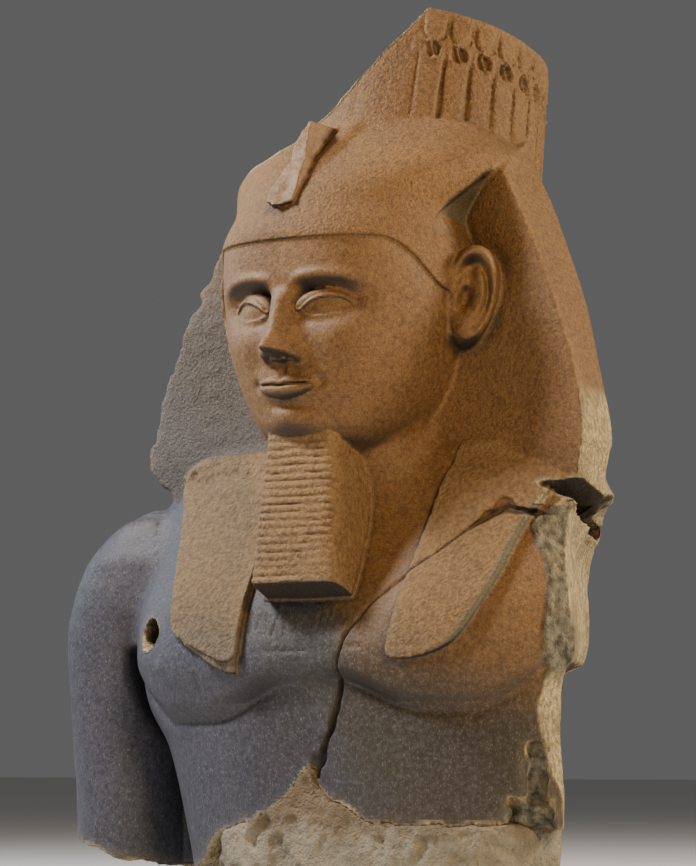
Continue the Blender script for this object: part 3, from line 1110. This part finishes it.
small_shape = ranged(small_crystals.outputs["Distance"], 0.45, 0.25)
small_flecks = math_of("MULTIPLY", small_shape, ranged(small_tone, 0.4, 0.9))
large_flecks = math_of("MULTIPLY", fleck_shape, pale_ones)
flecks = math_of("MAXIMUM", large_flecks, math_of("MULTIPLY", small_flecks, 0.7))
mica = node("ShaderNodeTexVoronoi", {"Vector": place, "Scale": 160.0}, feature="F1")
mica_spots = ranged(mica.outputs["Distance"], 0.36, 0.2)
clouds = noise(2.6, 5.0)
fine_clouds = noise(66.0, 6.0)
grain = noise(170.0, 3.0)
cloudy = ranged(clouds, 0.3, 0.7)
grey_stone = mixed(cloudy, (0.022, 0.025, 0.037), (0.052, 0.055, 0.078))
olive_stone = mixed(cloudy, (0.020, 0.0165, 0.0095), (0.040, 0.032, 0.0175))
warm_stone = mixed(cloudy, (0.110, 0.051, 0.015), (0.180, 0.092, 0.030))
wing_stone = mixed(cloudy, (0.062, 0.052, 0.042), (0.105, 0.088, 0.070))
colour = mixed(ranged(warm, 0.0, 0.45), grey_stone, olive_stone)
colour = mixed(ranged(warm, 0.45, 1.0), colour, warm_stone)
colour = mixed(math_of("MULTIPLY", attribute("far_wing"), 0.75), colour, wing_stone)
mottle = mixed(ranged(warm, 0.4, 0.9), (0.068, 0.069, 0.080), (0.200, 0.112, 0.044))
colour = mixed(math_of("MULTIPLY", ranged(fine_clouds, 0.44, 0.68), 0.55), colour, mottle)
shade = mixed(warm, (0.013, 0.013, 0.018), (0.058, 0.028, 0.010))
colour = mixed(math_of("MULTIPLY", ranged(fine_clouds, 0.5, 0.3), 0.5), colour, shade)
colour = mixed(math_of("MULTIPLY", mica_spots, 0.5), colour, (0.02, 0.016, 0.014))
fleck_colour = mixed(ranged(warm, 0.3, 0.9), (0.19, 0.185, 0.17), (0.26, 0.17, 0.085))
colour = mixed(math_of("MULTIPLY", flecks, 0.5), colour, fleck_colour)
colour = mixed(math_of("MULTIPLY", ranged(grain, 0.4, 0.62), 0.35), colour, (0.03, 0.022, 0.015))
dust = math_of("MULTIPLY", ranged(pecked, 0.65, 1.0), ranged(fine_clouds, 0.3, 0.65, 0.12, 0.34))
colour = mixed(dust, colour, (0.27, 0.19, 0.10))
colour = mixed(math_of("MULTIPLY", attribute("stained"), 0.75), colour, (0.066, 0.074, 0.054))
streaks = node("ShaderNodeMapping", {"Vector": place, "Scale": (1.0, 1.0, 0.6)}).outputs[0]
bare = mixed(ranged(noise(95.0, 6.0, streaks), 0.36, 0.64), (0.19, 0.145, 0.082), (0.42, 0.335, 0.195))
bare = mixed(math_of("MULTIPLY", ranged(noise(7.0, 5.0), 0.46, 0.62), 0.6), bare, (0.11, 0.092, 0.062))
dark_bare = mixed(ranged(noise(40.0, 6.0), 0.35, 0.65), (0.022, 0.022, 0.018), (0.15, 0.14, 0.11))
bare = mixed(attribute("dark_chunk"), bare, dark_bare)
colour = mixed(broken, colour, bare)
colour = mixed(math_of("MULTIPLY", worn, 0.14), colour, (0.30, 0.22, 0.13))
colour = mixed(math_of("MULTIPLY", ranged(sunk, 0.3, 1.0), 0.75), colour, (0.014, 0.010, 0.008))
colour = mixed(math_of("MULTIPLY", attribute("under"), 0.93), colour, (0.010, 0.008, 0.007))
links.new(colour, shader.inputs["Base Color"])
rough = math_of("ADD", math_of("MULTIPLY", pecked, 0.22), math_of("MULTIPLY", broken, 0.34))
rough = math_of("ADD", rough, ranged(fine_clouds, 0.2, 0.8, 0.54, 0.68), clamp=True)
links.new(rough, shader.inputs["Roughness"])
shader.inputs["Specular IOR Level"].default_value = 0.3
peck_marks = math_of("MULTIPLY", noise(105.0, 4.0), math_of("ADD", math_of("MULTIPLY", pecked, 1.3), 0.35))
dressing = math_of("MULTIPLY", noise(24.0, 3.0), 0.55)
grit = math_of("ADD", noise(46.0, 7.0, streaks), noise(140.0, 3.0))
grit = math_of("MULTIPLY", grit, math_of("MULTIPLY", broken, 2.0))
relief = math_of("ADD", math_of("ADD", peck_marks, dressing), grit)
bump = node("ShaderNodeBump", {"Height": relief, "Distance": 0.005, "Strength": 1.0})
links.new(bump.outputs[0], shader.inputs["Normal"])
for piece in bust_pieces.values():
    piece.data.materials.append(granite)


# Support: a low rough block of pale stone and lime mortar, packed by hand into the broken foot, pitted and
# crumbling at its edges, with browner filling in the gap between the two ends of the stone.
def support(x, y, z):
    """A rounded box with rough, pitted faces, cut off under the bust's own break line and side break."""
    shape = rounded(x - 1.1, y - 1.5, 5.3, 0, 4.5, 4.5, 5.5)
    pitting = np.clip(stone_noise(x, y, z, 0.5, 52), 0, 1) * 0.2 + 0.08 * stone_noise(x, y, z, 0.2, 53)
    shape = shape + 0.3 * rugged(x, y, z, 51) + 0.1 + pitting
    shape = np.maximum(shape, np.maximum(-(z + lift), -0.012 - below_foot(x, y, z) / 0.8))
    return np.maximum(shape, beyond_side(x, y, z) + 0.02)


block_xs = graded([(-4.6, 0.072), (6.9, 0.072)], spacing)
block_ys = graded([(-3.6, 0.06), (-1.5, 0.12), (6.6, 0.24)], spacing)
block_zs = graded([(-1.12, 0.066), (3.8, 0.066)], spacing)
vertices, quads = surface_of(support, block_xs, block_ys, block_zs)
vertices[:, 2] = np.maximum(vertices[:, 2], -lift)
normals = normals_of(vertices, quads)
x, y, z = vertices.T
pits = np.clip(1 - support(*(vertices + 0.3 * normals).T) / 0.3, 0, 1)
marks = {"sunk": pits, "brown": smooth_step(1.0, 1.7, z + 0.3 * stone_noise(x, y, z, 0.6, 61))}
packed_block = stone_piece(
    "support_of_pale_stone", vertices, quads, normals, marks, np.ones(len(quads), bool), (1, 1.5, 0))
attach(packed_block, "root")
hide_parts("support_block")
mortar, node, links, shader = new_material("pale_stone_and_mortar")
place = node("ShaderNodeTexCoord").outputs["Object"]
pale = mixed(ranged(noise(7.0, 6.0), 0.3, 0.7), (0.135, 0.112, 0.076), (0.27, 0.236, 0.176))
pale = mixed(math_of("MULTIPLY", attribute("brown"), 0.8), pale, (0.12, 0.082, 0.046))
pale = mixed(math_of("MULTIPLY", ranged(attribute("sunk"), 0.1, 0.7), 0.6), pale, (0.1, 0.08, 0.055))
links.new(pale, shader.inputs["Base Color"])
shader.inputs["Roughness"].default_value = 0.92
holes = node("ShaderNodeTexVoronoi", {"Vector": place, "Scale": 42.0}, feature="F1").outputs["Distance"]
rough_face = math_of("ADD", noise(30.0, 6.0), math_of("MULTIPLY", ranged(holes, 0.0, 0.4), 0.7))
rough_face = math_of("ADD", rough_face, noise(140.0, 3.0))
bump = node("ShaderNodeBump", {"Height": rough_face, "Distance": 0.012, "Strength": 1.0})
links.new(bump.outputs[0], shader.inputs["Normal"])
packed_block.data.materials.append(mortar)
